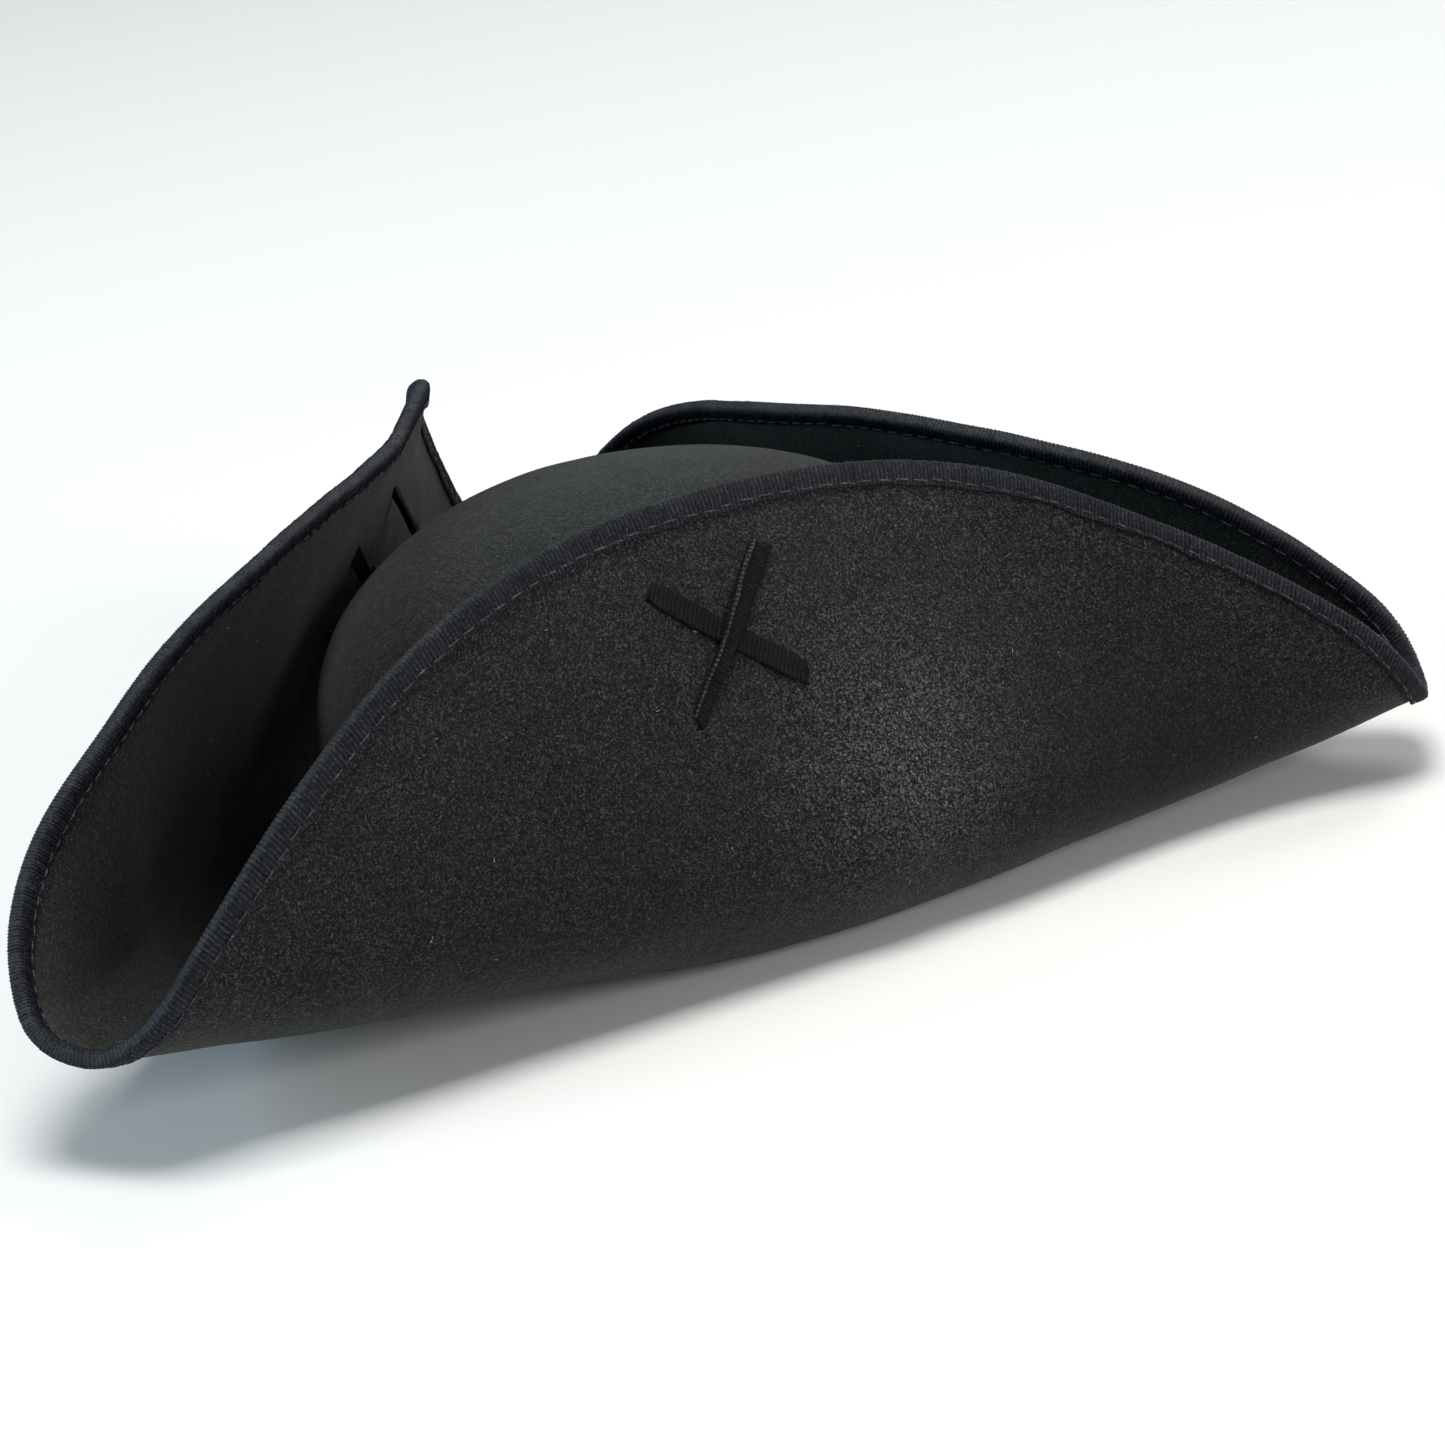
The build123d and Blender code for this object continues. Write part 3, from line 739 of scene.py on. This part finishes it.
# painted shade, where the felt is painted darker as if less light reached it: the middle of each spot,
# its radius, its factor on the colour
PAINTED_SHADE_SPOTS = ((place_of("left", 82, 22), 0.082, 0.40), (place_of("left", -88, 30), 0.105, 0.70),
              (place_of("right", 95, 45), 0.110, 0.60))


def felt_material(name):
    """Wool felt: short matt nap, mottled where the nap lies different ways, pale stray fibres, with a
    painted highlight and spots of painted shade.
    """
    material, shader = new_material(name)
    tree = Tree(material)
    nap = tree.ramp(tree.noise(55, 4, 0.6), (0.3, FELT_NAP[0]), (0.7, FELT_NAP[1]))
    colour = tree.times(nap, tree.grey(tree.cells(2400), 0.30, 1.0, 0.05, 2.5))
    colour = tree.times(colour, tree.grey(tree.noise(1500, 3, 0.9), 0.42, 0.58, 0.25, 1.75))
    clumps = tree.grey(tree.noise(620, 3, 0.7), 0.3, 0.70, 0.70, 1.30)
    colour = tree.times(colour, clumps)
    fibre = tree.grey(tree.noise(1500, 1, 0.4), 0.69, 0.76)
    colour = tree.mix(colour, FELT_FIBRE, fibre)
    # paints the highlight beside the left flap's ridge and the shade in the listed spots onto the felt's
    # colour
    for spot, radius, factor in ((PAINTED_HIGHLIGHT_SPOT, PAINTED_HIGHLIGHT_RADIUS, PAINTED_HIGHLIGHT_FACTOR), *PAINTED_SHADE_SPOTS):
        colour = tree.times(colour, tree.mix((1, 1, 1), (factor,) * 3, tree.near(spot, radius)))
    tree.links.new(colour, shader.inputs["Base Color"])
    rough = tree.grey(tree.noise(90, 2), 0.3, 0.7, 0.86, 0.97)
    tree.links.new(rough, shader.inputs["Roughness"])
    shader.inputs["Specular IOR Level"].default_value = 0.12
    shader.inputs["Sheen Weight"].default_value = 0.10
    shader.inputs["Sheen Roughness"].default_value = 0.55
    shader.inputs["Sheen Tint"].default_value = (0.78, 0.82, 0.74, 1)
    soft = tree.bump(tree.noise(330, 3, 0.6), 0.0006, 0.45)
    fine = tree.bump(tree.noise(2100, 2, 0.7), 0.0004, 0.7, soft)
    tree.links.new(fine, shader.inputs["Normal"])
    return material


def tape_material(name, light, gloss, sheen, ribbed=True):
    """Woven tape: irregular threads, finer than the ribs of the mesh, with a painted highlight where the
    mesh marks its edge.
    """
    material, shader = new_material(name)
    tree = Tree(material)
    threads = tree.noise(1700, 3, 0.9)
    dark = tuple(c * 0.15 for c in light)  # between the threads
    colour = tree.ramp(threads, (0.40, dark), (0.60, light))
    specks = tree.grey(tree.cells(2100), 0.3, 1.0, 0.3, 1.9)
    colour = tree.times(colour, specks)
    if ribbed:
        # painted shade in the valleys between the ribs and painted light on their crests, from the
        # mesh's rib mark
        painted_rib_shade = tree.grey(tree.mark("rib"), 0.1, 0.8, 0.2, 1.6)
        colour = tree.times(colour, painted_rib_shade)
        # painted highlight, broken up by noise, where the mesh's edge mark says
        highlight_breakup = tree.grey(tree.noise(1400, 2, 0.8), 0.40, 0.58, 0.15, 1.0)
        painted_highlight = tree.mix((0, 0, 0), tree.mark("edge"), highlight_breakup)
        colour = tree.mix(colour, PAINTED_HIGHLIGHT_GREY, painted_highlight)
    patches = tree.grey(tree.noise(120, 3), 0.3, 0.7, 0.75, 1.2)
    colour = tree.times(colour, patches)
    tree.links.new(colour, shader.inputs["Base Color"])
    rough = tree.grey(threads, 0.3, 0.7, 0.34, 0.6)
    tree.links.new(rough, shader.inputs["Roughness"])
    shader.inputs["Specular IOR Level"].default_value = gloss
    shader.inputs["Sheen Weight"].default_value = sheen
    shader.inputs["Sheen Roughness"].default_value = 0.4
    shader.inputs["Sheen Tint"].default_value = (0.72, 0.78, 0.95, 1)
    normal = tree.bump(threads, 0.0004, 0.8)
    tree.links.new(normal, shader.inputs["Normal"])
    return material


def twill_material():
    """Cotton twill of the sweatband: slanting lines, slightly mottled."""
    material, shader = new_material("twill")
    tree = Tree(material)
    wave = tree.nodes.new("ShaderNodeTexWave")
    wave.bands_direction = "DIAGONAL"
    wave.inputs["Scale"].default_value = 420
    wave.inputs["Distortion"].default_value = 1.2
    wave.inputs["Detail"].default_value = 2
    tree.links.new(tree.place, wave.inputs["Vector"])
    lines = wave.outputs["Fac"]
    colour = tree.ramp(lines, (0.2, TWILL_COLOURS[0]), (0.8, TWILL_COLOURS[1]))
    patches = tree.grey(tree.noise(70, 3), 0.3, 0.7, 0.75, 1.2)
    colour = tree.times(colour, patches)
    tree.links.new(colour, shader.inputs["Base Color"])
    tree.links.new(tree.grey(lines, 0.2, 0.8, 0.88, 0.7), shader.inputs["Roughness"])
    shader.inputs["Specular IOR Level"].default_value = 0.25
    normal = tree.bump(lines, 0.0004, 0.6)
    tree.links.new(normal, shader.inputs["Normal"])
    return material


# ---- floor, light and camera ----
def make_floor():
    mesh = bpy.data.meshes.new("floor")
    ways = ((-1, -1), (1, -1), (1, 1), (-1, 1))
    corners = [(x * FLOOR_HALF, y * FLOOR_HALF, FLOOR_LEVEL) for x, y in ways]
    mesh.from_pydata(corners, [], [(0, 1, 2, 3)])
    material, shader = new_material("pale_floor")
    shader.inputs["Base Color"].default_value = (FLOOR_GREY, FLOOR_GREY, FLOOR_GREY, 1)
    shader.inputs["Roughness"].default_value = 0.9
    mesh.materials.append(material)
    floor = bpy.data.objects.new("floor", mesh)
    bpy.context.scene.collection.objects.link(floor)


def way_to(azimuth, elevation):
    """Unit vector from the hat to a lamp or camera; azimuth 0 is the wearer's front."""
    a, e = math.radians(azimuth), math.radians(elevation)
    return Vector((math.sin(a) * math.cos(e), -math.cos(a) * math.cos(e), math.sin(e)))


def add_light(name, azimuth, elevation, size, power, colour):
    """A soft square light that looks at the hat."""
    back = way_to(azimuth, elevation)
    data = bpy.data.lights.new(name, "AREA")
    data.size = size
    data.energy = power
    data.color = colour
    light = bpy.data.objects.new(name, data)
    light.location = back * LAMP_DISTANCE + LAMP_TARGET
    light.rotation_mode = "QUATERNION"
    light.rotation_quaternion = back.to_track_quat("Z", "Y")
    bpy.context.scene.collection.objects.link(light)


def make_world():
    world = bpy.data.worlds.new("studio")
    world.use_nodes = True
    background = world.node_tree.nodes["Background"]
    background.inputs["Color"].default_value = (*SURROUND_COLOUR, 1)
    background.inputs["Strength"].default_value = SURROUND_STRENGTH
    bpy.context.scene.world = world


def make_camera():
    azimuth, roll = math.radians(CAMERA_AZIMUTH), math.radians(CAMERA_ROLL)
    back = way_to(CAMERA_AZIMUTH, CAMERA_ELEVATION)
    right = Vector((math.cos(azimuth), math.sin(azimuth), 0))
    up = back.cross(right)
    turned_right = right * math.cos(roll) + up * math.sin(roll)
    turned_up = up * math.cos(roll) - right * math.sin(roll)
    data = bpy.data.cameras.new("camera")
    data.sensor_width = CAMERA_SENSOR
    data.lens = CAMERA_LENS
    camera = bpy.data.objects.new("camera", data)
    axes = Matrix((turned_right, turned_up, back)).transposed().to_4x4()
    camera.matrix_world = Matrix.Translation(CAMERA_TARGET + back * CAMERA_DISTANCE) @ axes
    bpy.context.scene.collection.objects.link(camera)
    bpy.context.scene.camera = camera


# ---- everything ----
felt = felt_material("wool_felt")
tape = tape_material("ribbed_tape", TAPE_COLOUR, gloss=0.14, sheen=0.01)
ribbon = tape_material("lace_ribbon", LACE_COLOUR, gloss=0.10, sheen=0.0)
thread = tape_material("thread", THREAD_COLOUR, gloss=0.3, sheen=0.02, ribbed=False)

make_brim(felt)
make_crown(felt)
make_binding(tape)
make_binding_stitches(thread)
for flap in FOLDS:
    make_lace(flap, UNDER_ENDS, 0, ribbon)
    make_lace(flap, OVER_ENDS, 1, ribbon)
make_sweatband(twill_material())
make_ring_stitches("headline_seam", "headline_stitches", thread, HEADLINE_STITCHES,
                   inset=0.35, height=FELT + 0.6, length=5.0, upright=True)
make_ring_stitches("sweatband_seam", "sweatband_stitches", thread, BAND_STITCHES,
                   inset=BAND_INSET + BAND + 0.15, height=4.0, length=3.0, upright=False)
make_lint(tape_material("lint", LINT_COLOUR, gloss=0.1, sheen=0.0, ribbed=False))

make_floor()
make_world()
for lamp in LAMPS:
    add_light(*lamp)
make_camera()
bpy.context.scene.view_settings.view_transform = "Standard"
